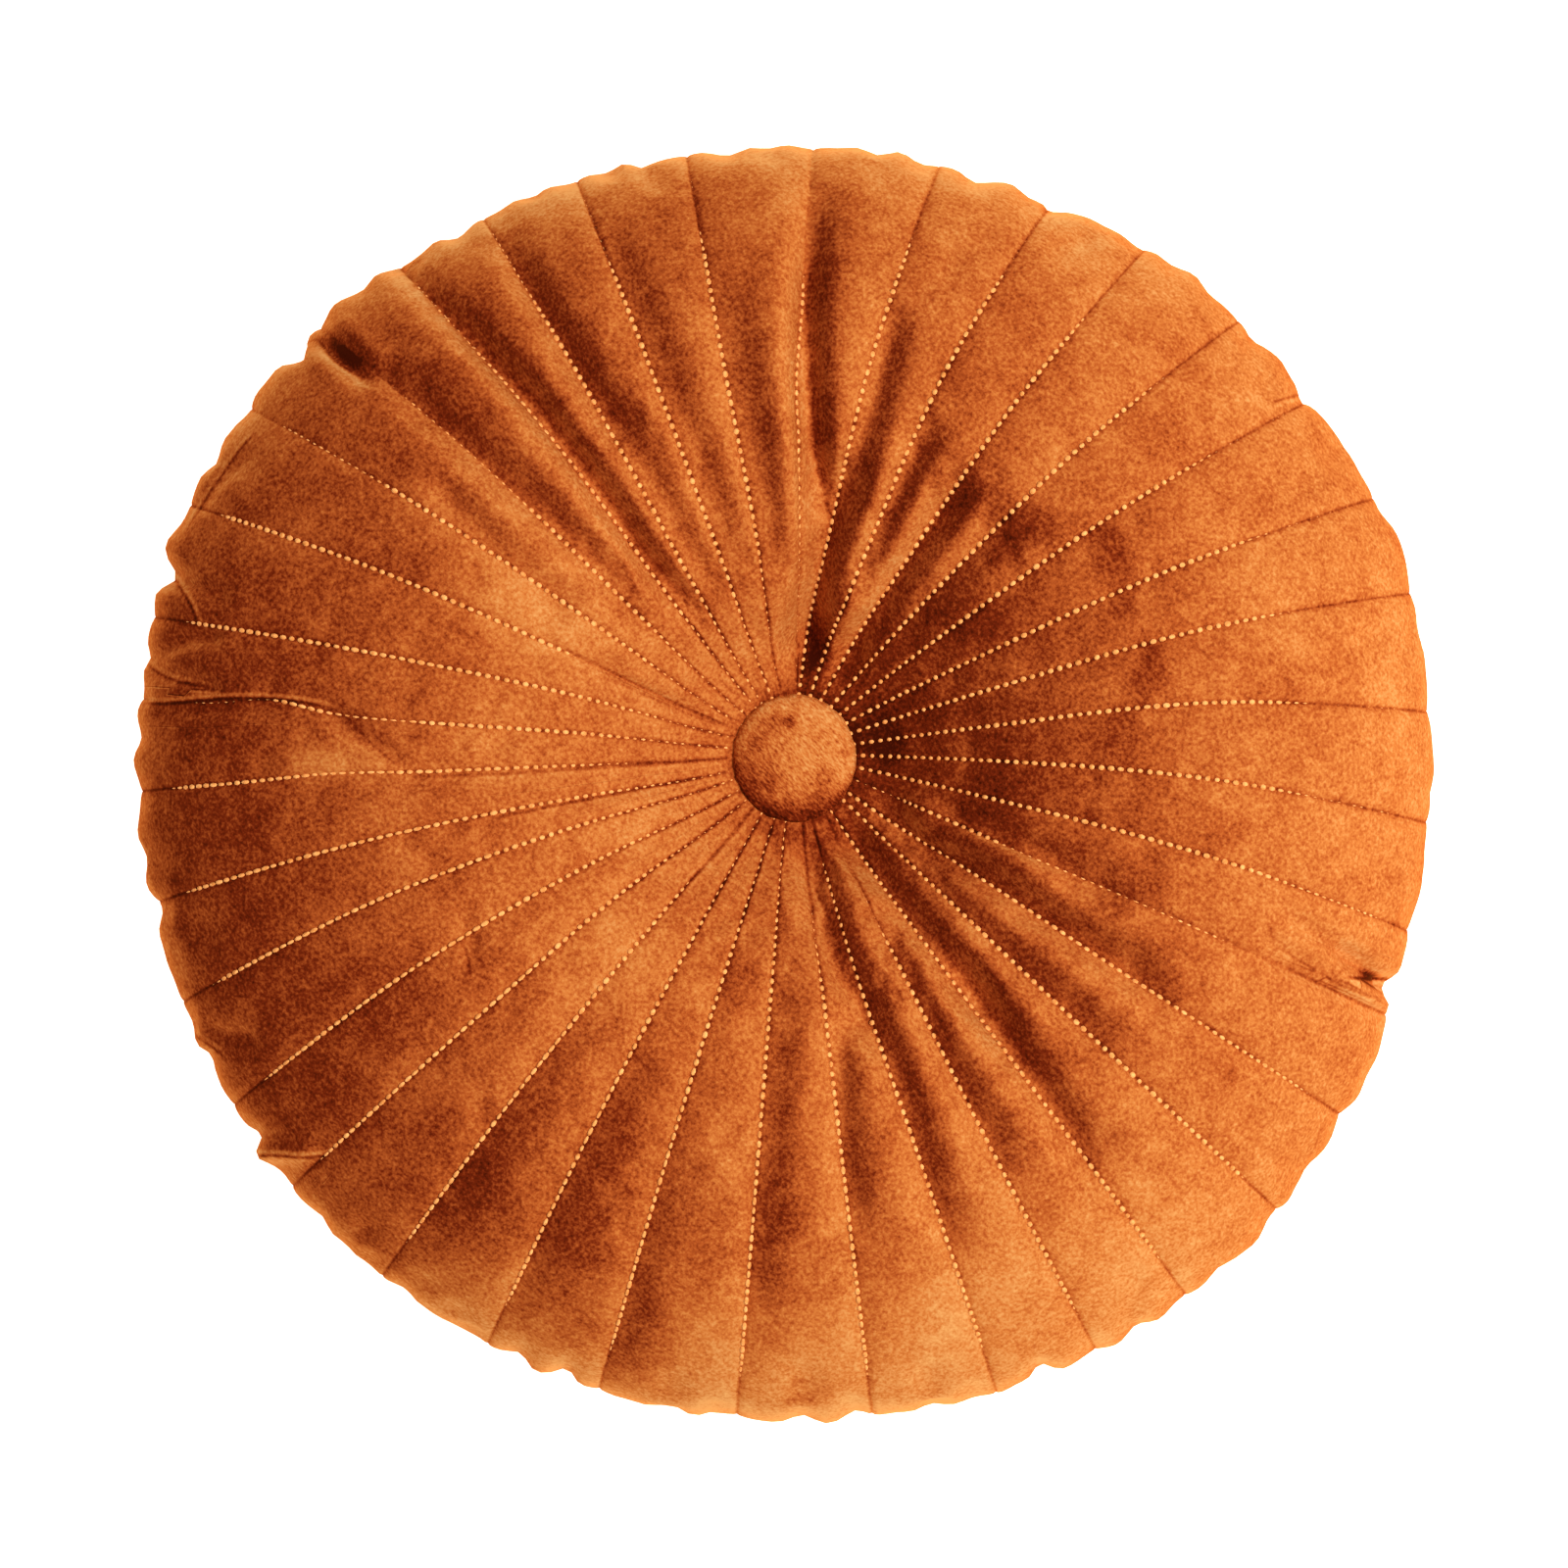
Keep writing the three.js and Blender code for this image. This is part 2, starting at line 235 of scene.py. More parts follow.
# Folds in the velvet: how deep and wide each trough is (a ridge is less than nought deep), and the
# bearings and radii of the line it runs along.
Fold = namedtuple("Fold", "deep wide line")
FOLDS = [Fold(*row) for row in (
    (2.8, 5.5, ((50.5, 36), (48.8, 62), (47.8, 94))),
    (6.6, 5.0, ((63.4, 8), (61.2, 36), (59.6, 58), (58.8, 78), (58.2, 96))),
    (4.0, 4.6, ((69.4, 44), (68.6, 64), (68.2, 84), (67.4, 106))),
    (6.0, 5.0, ((88.0, 2), (84.8, 20), (82.0, 38), (80.2, 58), (79.0, 76), (78.2, 92))),
    (3.4, 4.6, ((79.0, 66), (77.8, 90), (77.2, 112), (77.0, 134))),
    (6.0, 6.0, ((88.4, 12), (86.4, 36), (85.2, 57), (85.4, 72), (87.0, 88))),
    (7.6, 4.4, ((83.8, 60), (85.2, 76), (86.8, 88), (87.8, 102), (88.4, 124), (88.2, 144), (87.4, 170))),
    (-1.8, 5.0, ((89.8, 22), (88.6, 48), (89.4, 68), (91.4, 90), (92.4, 118), (91.8, 146))),
    (1.9, 5.4, ((94.8, 46), (96.8, 74), (98.6, 106), (98.8, 142))),
    (2.2, 5.4, ((107.4, 46), (107.8, 84), (109.2, 118), (109.6, 164))),
    (2.4, 5.0, ((116.6, 46), (117.4, 82), (118.6, 116))),
    (4.4, 4.6, ((118.6, 98), (119.4, 122), (119.4, 146), (119.8, 176))),
    (7.6, 4.0, ((124.6, 42), (127.4, 62), (126.8, 88), (126.8, 120), (127.9, 152), (129.6, 192))),
    (4.6, 5.4, ((137.0, 52), (136.2, 90), (136.6, 124), (137.2, 174))),
    (2.4, 5.0, ((147.4, 72), (145.4, 102), (142.6, 134))),
    (2.4, 2.4, ((139.2, 160), (139.2, 174), (139.4, 188))),
    (-1.4, 2.6, ((136.4, 160), (136.4, 172), (136.6, 184))),
    (-0.8, 2.2, ((140.4, 164), (140.6, 178), (140.8, 190))),
    (1.4, 2.6, ((150.6, 178), (154.6, 184), (158.6, 188))),
    (1.5, 2.2, ((159.0, 25), (157.2, 46), (156.0, 66))),
    (2.4, 2.8, ((164.8, 166), (164.3, 180), (163.8, 192))),
    (2.2, 2.6, ((168.6, 166), (169.4, 178), (171.8, 190))),
    (2.0, 2.6, ((173.8, 164), (173.0, 178), (172.6, 192))),
    (1.2, 2.4, ((176.0, 192), (176.2, 176), (175.2, 150), (175.2, 132), (176.2, 118))),
    (1.1, 2.4, ((174.6, 136), (178.4, 122), (182.4, 108))),
    (-1.6, 3.2, ((182.0, 106), (181.8, 130), (181.6, 152))),
    (1.6, 2.8, ((205.0, 190), (206.6, 182), (208.4, 174))),
    (-2.4, 2.8, ((216.4, 196), (217.6, 188), (220.0, 178))),
    (0.8, 2.4, ((184.4, 60), (184.2, 84), (183.8, 104))),
    (1.1, 2.0, ((195.2, 33), (193.2, 52), (192.2, 72))),
    (0.7, 2.4, ((206.4, 107), (210.0, 106), (214.0, 112))),
    (1.2, 5.5, ((231.8, 84), (231.4, 126), (232.4, 180))),
    (1.2, 5.5, ((242.6, 92), (242.6, 138), (243.4, 190))),
    (1.2, 5.0, ((252.8, 116), (253.2, 150), (253.6, 190))),
    (1.5, 5.2, ((267.2, 56), (266.6, 96), (266.0, 136), (265.8, 170))),
    (2.8, 4.8, ((281.6, 72), (278.4, 88), (277.4, 114), (277.4, 144))),
    (4.6, 5.0, ((277.8, 14), (279.2, 34), (280.6, 52), (283.4, 74), (285.6, 92))),
    (3.1, 4.8, ((285.8, 56), (287.4, 84), (287.8, 118), (287.8, 154))),
    (3.4, 4.6, ((297.8, 44), (296.8, 74), (296.9, 110), (297.2, 138))),
    (6.8, 5.4, ((298.6, 8), (303.4, 30), (305.6, 54), (306.4, 80), (306.6, 112))),
    (4.6, 5.0, ((306.2, 70), (306.4, 110), (305.9, 148))),
    (3.8, 5.4, ((316.6, 30), (316.8, 64), (317.0, 98), (317.0, 124))),
    (5.6, 5.4, ((324.8, 18), (326.4, 56), (326.8, 96), (327.0, 132))),
    (-2.4, 4.4, ((334.6, 32), (334.2, 56), (334.0, 88))),
    (3.0, 4.6, ((336.8, 40), (337.0, 68), (336.8, 106))),
    (2.0, 2.4, ((336.6, 140), (336.2, 168), (336.0, 192))),
    (1.2, 2.2, ((338.6, 142), (337.8, 158), (337.6, 174))),
    (2.0, 2.6, ((341.8, 144), (340.4, 164), (339.4, 180))),
    (4.0, 3.0, ((340.2, 164), (339.0, 178), (338.4, 192))),
    (-1.6, 2.6, ((337.4, 168), (337.0, 180), (336.9, 190))),
)]

# Creases too sharp for the mesh, drawn by a bump and by painted shade: how dark the painted shade in each
# is, how pale the painted highlight is on the lip that stands on its left as its line is followed, and the
# bearings and radii of the line.
Crease = namedtuple("Crease", "dark lip line")
CREASES = [Crease(*row) for row in (
    (0.35, 0.2, ((158.2, 16), (157.6, 32), (156.6, 48), (155.8, 64), (155.6, 84))),
    (0.35, 0.1, ((160.4, 20), (159.0, 40), (158.0, 58))),
    (0.3, 0.2, ((184.8, 18), (184.4, 44), (184.2, 70), (183.9, 96), (183.5, 112))),
    (0.5, 0.2, ((194.6, 22), (193.4, 40), (192.6, 62), (192.2, 94))),
    (0.3, 0.1, ((202.8, 20), (200.8, 34), (199.8, 46), (199.4, 62))),
    (0.3, 0.1, ((213.6, 20), (211.4, 34), (209.8, 48), (209.0, 62))),
    (0.4, 0.1, ((223.2, 18), (221.4, 32), (219.8, 48), (219.2, 66))),
    (0.35, 0.2, ((234.0, 18), (232.8, 30), (231.4, 42), (230.4, 60))),
    (0.4, 0.1, ((242.4, 20), (241.4, 40), (241.2, 60))),
    (0.4, 0.1, ((253.4, 20), (252.8, 40), (252.3, 60))),
    (0.3, 0.1, ((130.8, 20), (129.6, 40), (128.6, 60), (128.0, 90))),
    (0.5, 0.4, ((138.7, 162), (139.3, 168), (139.5, 175), (139.2, 180), (139.1, 184), (140.4, 187))),
    (0.5, 0.5, ((160.0, 188), (156.0, 185.5), (151.6, 183), (149.0, 181))),
    (0.6, 0.6, ((164.2, 192), (164.6, 186), (166.0, 180), (168.4, 174))),
    (0.7, 0.9, ((175.6, 194), (175.5, 182), (174.9, 170), (174.3, 156), (174.2, 140), (175.0, 128))),
    (0.5, 0.6, ((171.8, 192), (172.8, 186), (173.4, 178), (173.6, 168))),
    (0.25, 0.15, ((174.4, 130), (178.4, 121), (182.2, 112))),
    (0.5, 0.2, ((208.6, 109), (211.4, 109), (215.0, 112))),
    (0.7, 0.9, ((216.6, 197), (217.8, 190), (219.6, 183), (221.0, 176))),
    (0.6, 0.4, ((204.8, 194), (206.4, 190), (208.0, 187))),
    (0.4, 0.2, ((336.2, 189), (336.1, 178), (336.3, 164), (336.4, 150))),
    (0.4, 0.4, ((337.4, 186), (337.0, 174), (337.4, 160), (338.2, 148))),
    (1.0, 0.7, ((339.4, 188), (338.9, 183), (338.4, 177), (337.9, 171))),
    (0.5, 0.3, ((35.2, 184), (35.6, 178), (36.4, 170))),
)]
CREASE_REACH = 7.0

# Folds and creases fade in and out over these shares of their lines.
FOLD_FADE = 0.25
CREASE_FADE = 0.2

# Painted light and shade: slopes that face away from this bearing are painted deep, and the others pale.
PAINTED_LIGHT_BEARING = 1.0
PAINTED_LIGHT_SHARE = 0.36
PAINTED_LIGHT_TOP = 0.17  # beyond this the painted light grows paler at only a third of the rate
PAINTED_RIM_SHEEN = 0.42  # a painted sheen makes the rim paler, least where it faces the light

# On the right the velvet is painted darker inside a line: painted shade of the hollow's slope, which faces
# away from the light, with a ragged edge where the pile turns. The line's bearings and radii.
RIGHT_SHADE_LINE = (
    (325, 92), (333, 104), (338, 112), (344, 112), (347, 128), (351, 133), (354, 112), (358, 99),
    (6, 98), (11, 109), (16, 110), (21, 104), (27, 110), (35, 112), (40, 103), (46, 98), (55, 92),
)
RIGHT_SHADE_DEPTH = 0.1

# Patches painted darker where their strength is less than nought, and paler where it is more: some are
# brushed pile, others painted shade in the hollows at the rim, beside folds and round the button, and
# painted light along the outer rim. Strength, bearing and radius of the middle, and the half length
# across and along the radius.
Brush = namedtuple("Brush", "strength at radius wide long")
NAP_AND_SHADE_PATCHES = [Brush(*row) for row in (
    (-0.23, 5.0, 24, 20, 9),
    (-0.12, 70.0, 38, 3.5, 13),
    (-0.14, 298.5, 34, 3.4, 12),
    (-0.06, 14.0, 105, 6, 3),
    (-0.06, 33.0, 108, 7, 4),
    (-0.12, 44.0, 86, 5, 7),
    (-0.06, 57.0, 88, 10, 10),
    (-0.12, 292.0, 26, 13, 6),
    (-0.12, 262.0, 23, 14, 4),
    (-0.30, 80.0, 27, 3.4, 10),
    (-0.12, 350.0, 60, 12, 9),
    (-0.10, 34.0, 62, 9, 9),
    (-0.44, 138.5, 173, 2.1, 8),
    (-0.70, 338.7, 179, 1.4, 4.5),
    (0.13, 150.0, 174, 34, 20),
    (0.13, 243.0, 182, 34, 16),
    (-0.05, 160.0, 126, 16, 12),
    (-0.03, 168.0, 146, 20, 20),
    (-0.03, 198.0, 148, 24, 18),
    (-0.08, 212.0, 130, 14, 14),
    (-0.07, 234.0, 144, 9, 30),
    (-0.09, 246.0, 140, 12, 32),
    (-0.12, 255.0, 170, 8, 14),
    (-0.16, 257.0, 68, 5, 9),
    (-0.08, 268.0, 122, 8, 40),
    (0.16, 264.0, 174, 28, 18),
    (0.17, 284.0, 168, 34, 20),
    (0.11, 306.0, 170, 30, 20),
    (0.12, 118.0, 174, 32, 14),
    (0.22, 181.5, 132, 5, 16),
    (0.05, 230.0, 86, 14, 22),
    (0.12, 150.0, 90, 14, 22),
)]

# Crushed spots in the button's pile: strength, and the middle and half sizes to the right and away,
# as shares of the button's radius.
Spot = namedtuple("Spot", "strength right away wide tall")
BUTTON_SPOTS = [
    Spot(0.32, -0.07, 0.58, 0.09, 0.10),
    Spot(0.15, -0.44, 0.50, 0.26, 0.14),
    Spot(0.15, -0.64, 0.26, 0.18, 0.14),
    Spot(0.12, -0.30, 0.66, 0.12, 0.08),
    Spot(0.14, 0.42, 0.38, 0.10, 0.06),
    Spot(0.16, 0.80, 0.10, 0.12, 0.08),
    Spot(0.12, -0.80, -0.26, 0.20, 0.28),
    Spot(0.06, -0.46, -0.30, 0.30, 0.22),
    Spot(0.12, 0.42, -0.30, 0.16, 0.12),
    Spot(0.08, 0.44, -0.56, 0.24, 0.14),
    Spot(-0.10, 0.16, -0.06, 0.30, 0.22),
    Spot(-0.10, 0.46, 0.66, 0.24, 0.14),
]

# The mesh: columns across a swell, closest at the seams, and the rows' spacing down the cover.
HALF_ACROSS = np.array([0.022, 0.06, 0.12, 0.19, 0.26, 0.34, 0.42])
ACROSS = np.concatenate([[0], HALF_ACROSS, [0.5], 1 - HALF_ACROSS[::-1]])
FRONT_ROW_STEP = 2.1
BACK_ROW_STEP = 3.6

# The simulation's coarser mesh.
CAGE_ACROSS = np.arange(6) / 6
CAGE_ROW_STEP = 4.2
CAGE_SLACK = 0.72  # the cage's swells start at this share of their height, and are blown up
CAGE_UNEVENNESS = 0.03
HELD_HUB = 24.0  # the cage is held inside this radius on both sides
HELD_BACK = 150.0  # and inside this one on the back, which rests on the floor
SIMULATED_FRAMES = 18
MOST_MOVE = 5.0

# Sewing: the channel that the thread lies in, and the stitches.
DITCH_HALF_WIDTH = 0.52
DITCH_DEPTH = 0.32
STITCH = {"Pitch": 2.74, "Length": 1.9, "Width": 1.7, "Height": 0.95}
STITCH_LIFT = 0.3


def smooth(value, low, high):
    part = np.clip((value - low) / (high - low), 0, 1)
    return part * part * (3 - 2 * part)


def blend(low, high, share):
    return low + (high - low) * share


def spline_weights(part):
    """A Catmull-Rom spline's weights for the four points around a place between the middle two."""
    square = part * part
    cube = square * part
    return (
        (-cube + 2 * square - part) / 2,
        (3 * cube - 5 * square + 2) / 2,
        (-3 * cube + 4 * square + part) / 2,
        (cube - square) / 2,
    )


def spline_at(values, places, closed=False):
    """Values along the first axis, read between rows by a smooth curve."""
    values = np.asarray(values, dtype=float)
    count = len(values)
    base = np.floor(places).astype(int)
    part = places - base
    result = 0
    for step, weight in zip((-1, 0, 1, 2), spline_weights(part)):
        index = base + step
        index = index % count if closed else np.clip(index, 0, count - 1)
        result = result + values[index] * weight.reshape(weight.shape + (1,) * (values.ndim - 1))
    return result


class HalfOutline:
    """The cut through the axis, read by the distance along it."""

    def __init__(self):
        fine = np.linspace(0, len(HALF_OUTLINE) - 1, 5001)
        self.points = spline_at(HALF_OUTLINE, fine)
        steps = np.linalg.norm(np.diff(self.points, axis=0), axis=1)
        self.distance = np.concatenate([[0], np.cumsum(steps)])
        slope = np.gradient(self.points, axis=0)
        self.tangents = slope / np.linalg.norm(slope, axis=1, keepdims=True)
        self.length = self.distance[-1]
        rim = len(fine) // 2  # the face ends at the rim, halfway down the list
        self.front_length = self.distance[rim]

    def read(self, table, distance):
        columns = [np.interp(distance, self.distance, table[:, i]) for i in (0, 1)]
        return np.stack(columns, axis=-1)


OUTLINE = HalfOutline()


def swell_columns(across):
    """The columns' places, counted in swells, with the same spacing in each."""
    return (np.arange(SWELLS)[:, None] + across[None, :]).ravel()


def row_distances(front_step, back_step, hub_gap=5.0):
    """Distances along the half outline, from near one gather point to near the other."""
    front = np.arange(hub_gap, OUTLINE.front_length, front_step)
    back = np.arange(front[-1] + back_step, OUTLINE.length - hub_gap + back_step, back_step)
    back = np.minimum(back, OUTLINE.length - hub_gap)
    return np.concatenate([front, back])


def seam_bearings(radius, on_front):
    """Each seam's bearing at each row, with the first seam repeated a whole turn on."""
    lines = np.array([(seam.hub, seam.inner, seam.crown, seam.rim) for seam in SEAMS])
    lines = np.concatenate([lines, lines[:1] + 360])
    octaves = np.log2(np.array(SEAM_RADII) / SEAM_RADII[0])
    # The radii double from knot to knot, and the outer knots carry each seam's line on.
    beyond = lines[:, 2] + (lines[:, 3] - lines[:, 2]) / (octaves[3] - octaves[2])
    before = 1.6 * lines[:, 0] - 0.6 * lines[:, 1]
    knots = np.stack([before, lines[:, 0], lines[:, 1], lines[:, 2], beyond], axis=0)
    place = 1 + np.log2(np.maximum(radius, 1.0) / SEAM_RADII[0])
    front = spline_at(knots, np.clip(place, 0, 4)).T
    for bend in BENDS:
        front[bend.seam] += bend.turn * np.exp(-(((radius - bend.radius) / bend.long) ** 2))
    even = ((np.arange(SWELLS + 1) + 0.5) * (360 / SWELLS))[:, None]
    back = even + (lines[:, 3:4] - even) * smooth(radius, 0, NOMINAL_RADIUS)
    return np.where(on_front, front, back)


def bearings(place, radius, on_front):
    """The bearing of each column at each row."""
    index = np.floor(place).astype(int)
    lines = seam_bearings(radius, on_front)
    return blend(lines[index], lines[index + 1], (place - index)[:, None])


def bearing_gap(start, end):
    return (end - start + 180) % 360 - 180


def sector(middle, half_width, bearing, power=4):
    """1 in a sector about a middle bearing, falling to nought outside it."""
    return np.exp(-((bearing_gap(middle, bearing) / half_width) ** power))


def polar(points):
    """Each point's radius and bearing."""
    radius = np.linalg.norm(points[..., :2], axis=2)
    return radius, np.degrees(np.arctan2(points[..., 1], points[..., 0]))


def traced(line, count):
    """A smooth curve through bearings and radii: its mean bearing, and points along it."""
    line = np.array(line, dtype=float)
    line = spline_at(line, np.linspace(0, len(line) - 1, count))
    turn = np.radians(line[:, 0])
    return line[:, 0].mean(), line[:, 1:] * np.stack([np.cos(turn), np.sin(turn)], axis=1)


def faded(place, fade):
    """1 along a line and nought at both its ends, by the place along it from 0 to 1."""
    return smooth(place, 0, fade) * smooth(1 - place, 0, fade)


def tuck_depth(bearing):
    total = np.zeros_like(bearing)
    for tuck in TUCKS:
        off = bearing_gap(tuck.at, bearing) / (tuck.wide / 2)
        total += tuck.deep * np.exp(-off * off)
    return total


def puff(across):
    return 4 * across * (1 - across)


def fold_depth(bearing, radius):
    """How far the folds press the velvet in at each point of the face."""
    x = radius * np.cos(np.radians(bearing))
    y = radius * np.sin(np.radians(bearing))
    total = np.zeros_like(x)
    for fold in FOLDS:
        middle, path = traced(fold.line, 50)
        near = np.abs(bearing_gap(middle, bearing)) < 30
        gap = np.hypot(x[near][:, None] - path[:, 0], y[near][:, None] - path[:, 1])
        ends = faded(gap.argmin(axis=1) / (len(path) - 1), FOLD_FADE)
        total[near] += fold.deep * ends * np.exp(-((gap.min(axis=1) / fold.wide) ** 2))
    return total


def cover_grid(places, distances, slack=1.0):
    """The cover before it is simulated: an array of points by column and row."""
    index = np.floor(places).astype(int)
    across = (places - index)[:, None]
    on = OUTLINE.read(OUTLINE.points, distances)
    tangent = OUTLINE.read(OUTLINE.tangents, distances)
    radius0 = on[:, 0]
    height0 = on[:, 1]
    on_front = distances < OUTLINE.front_length
    bearing = bearings(places, radius0, on_front)

    reach = spline_at([seam.reach for seam in SEAMS], places - 0.5, closed=True)[:, None]
    spread = smooth(radius0, HUB_RADIUS / 2, NOMINAL_RADIUS)
    radius = radius0 * blend(1, reach / NOMINAL_RADIUS, spread)
    near_rim = 1 - smooth(np.abs(height0 - RIM_HEIGHT), 0, TUCK_REACH)
    turn = np.radians(bearing)
    ripple = sum(strength * np.sin(count * turn + phase) for count, strength, phase in RIM_WAVES)
    ripple = (1 + ripple) * (1 - 0.75 * sector(5, 40, bearing))  # the right side is smoother
    drawn_in = tuck_depth(bearing) + RIM_SEAM_DEPTH * (1 - puff(across)) + RIM_RIPPLE * ripple
    radius = radius - near_rim * drawn_in

    swell = np.array([seam.swell for seam in SEAMS])[index][:, None]
    share = smooth(radius0, 20, 40) * blend(HUB_SWELL, 1, smooth(radius0, 40, 145))
    share = share * FACE_SWELL * blend(1, RIM_SWELL, smooth(radius0, 120, NOMINAL_RADIUS))
    rise = swell * slack * share * (puff(across) - CHANNEL_SHARE)
    folded = fold_depth(bearing, radius) * on_front * smooth(radius0, 18, 30)
    radius = radius - tangent[:, 1] * (rise * (1 - near_rim) - folded)
    height = height0 + tangent[:, 0] * (rise - folded)
    return np.stack([radius * np.cos(turn), radius * np.sin(turn), height], axis=-1)


def painted_light_and_nap(points, normals):
    """The painted light and shade at each point, with patches of pile: from about -1 where it is painted
    deep to 1 where it is painted pale.
    """
    # Painted light and shade: slopes that face the light's bearing are painted paler, and those that face
    # away deeper.
    towards = np.radians(PAINTED_LIGHT_BEARING)
    light_and_nap = normals[..., 0] * np.cos(towards) + normals[..., 1] * np.sin(towards)
    radius, bearing = polar(points)
    patchy_tone = np.zeros_like(light_and_nap)
    # Patches of brushed pile, of painted shade and of painted light.
    for patch in NAP_AND_SHADE_PATCHES:
        aside = np.radians(bearing_gap(patch.at, bearing)) * radius / patch.wide
        along = (radius - patch.radius) / patch.long
        patchy_tone += patch.strength * np.exp(-aside * aside - along * along)
    line = np.array(RIGHT_SHADE_LINE, dtype=float)
    turned = bearing_gap(10, line[:, 0])
    limit = np.interp(bearing_gap(10, bearing), turned, line[:, 1])
    inside = smooth(limit - radius, -1.5, 2.5) * blend(1, 0.35, smooth(limit - radius, 5, 17))
    # Painted shade inside the line on the right.
    patchy_tone -= RIGHT_SHADE_DEPTH * sector(10, 46, bearing) * inside * smooth(radius, 52, 80)
    # Painted sheen: the rim is painted paler, less on the side that faces the light.
    edge = PAINTED_RIM_SHEEN * smooth(1 - normals[..., 2], 0.1, 0.8) * (1 - np.clip(1.4 * light_and_nap, 0, 1))
    light_and_nap = np.where(light_and_nap > PAINTED_LIGHT_TOP, PAINTED_LIGHT_TOP + (light_and_nap - PAINTED_LIGHT_TOP) / 3, light_and_nap)
    on_face = smooth(points[..., 2], RIM_HEIGHT - 4, RIM_HEIGHT + 12)
    return PAINTED_LIGHT_SHARE * light_and_nap + edge + patchy_tone * on_face


def crease_values(points):
    """The nearest crease at each point of the face: the distance past it, its painted shade and its lip's
    painted highlight.
    """
    flat = points[..., :2].reshape(-1, 2)
    nearest = np.full(len(flat), CREASE_REACH)
    values = np.zeros((len(flat), 3))
    values[:, 0] = CREASE_REACH
    face = points[..., 2].ravel() > RIM_HEIGHT - 6
    for crease in CREASES:
        path = traced(crease.line, 60)[1]
        ahead = np.gradient(path, axis=0)
        ahead /= np.linalg.norm(ahead, axis=1, keepdims=True)
        inside = face & (flat > path.min(axis=0) - CREASE_REACH).all(axis=1)
        inside = np.flatnonzero(inside & (flat < path.max(axis=0) + CREASE_REACH).all(axis=1))
        away = flat[inside][:, None] - path[None]
        gap = np.linalg.norm(away, axis=2)
        closest = gap.argmin(axis=1)
        least = gap.min(axis=1)
        offset = away[np.arange(len(inside)), closest]
        along = ahead[closest]
        past = along[:, 0] * offset[:, 1] - along[:, 1] * offset[:, 0]
        ends = faded(closest / (len(path) - 1), CREASE_FADE)
        better = least < nearest[inside]
        chosen = inside[better]
        nearest[chosen] = least[better]
        values[chosen, 0] = past[better]
        values[chosen, 1] = crease.dark * ends[better]
        values[chosen, 2] = crease.lip * ends[better]
    return values


def grid_normals(points):
    """Outward normals of a grid that is closed round its columns."""
    round_it = np.roll(points, -1, axis=0) - np.roll(points, 1, axis=0)
    down_it = np.gradient(points, axis=1)
    normals = np.cross(down_it, round_it)
    return normals / np.maximum(np.linalg.norm(normals, axis=2, keepdims=True), 1e-9)


def grid_faces(columns, rows):
    """Quads between the rows, and a fan of triangles round each gather point."""
    column = np.arange(columns)
    beside = (column + 1) % columns
    faces = []
    for row in range(rows - 1):
        top = column * rows + row
        top_beside = beside * rows + row
        faces += np.stack([top, top + 1, top_beside + 1, top_beside], axis=1).tolist()
    front_pole = columns * rows
    back_pole = front_pole + 1
    for a, b in zip(column.tolist(), beside.tolist()):
        faces.append([front_pole, a * rows, b * rows])
        faces.append([back_pole, b * rows + rows - 1, a * rows + rows - 1])
    return faces


def with_poles(points):
    """The grid's points in one list, and then the two gather points."""
    poles = [points[:, 0].mean(axis=0), points[:, -1].mean(axis=0)]
    return np.concatenate([points.reshape(-1, 3), poles])


def new_piece(name, mesh, material=None):
    piece = bpy.data.objects.new(name, mesh)
    bpy.context.scene.collection.objects.link(piece)
    if material:
        mesh.materials.append(material)
    return piece


def mesh_of(name, points, faces=(), edges=()):
    mesh = bpy.data.meshes.new(name)
    mesh.from_pydata((np.asarray(points) * MM).tolist(), list(edges), list(faces))
    mesh.update()
    return mesh


def point_values(mesh, name, kind, values):
    """Stores one value or vector for each point of a mesh."""
    attribute = mesh.attributes.new(name, kind, "POINT")
    field = "vector" if kind == "FLOAT_VECTOR" else "value"
    attribute.data.foreach_set(field, np.asarray(values, dtype=np.float32).ravel())


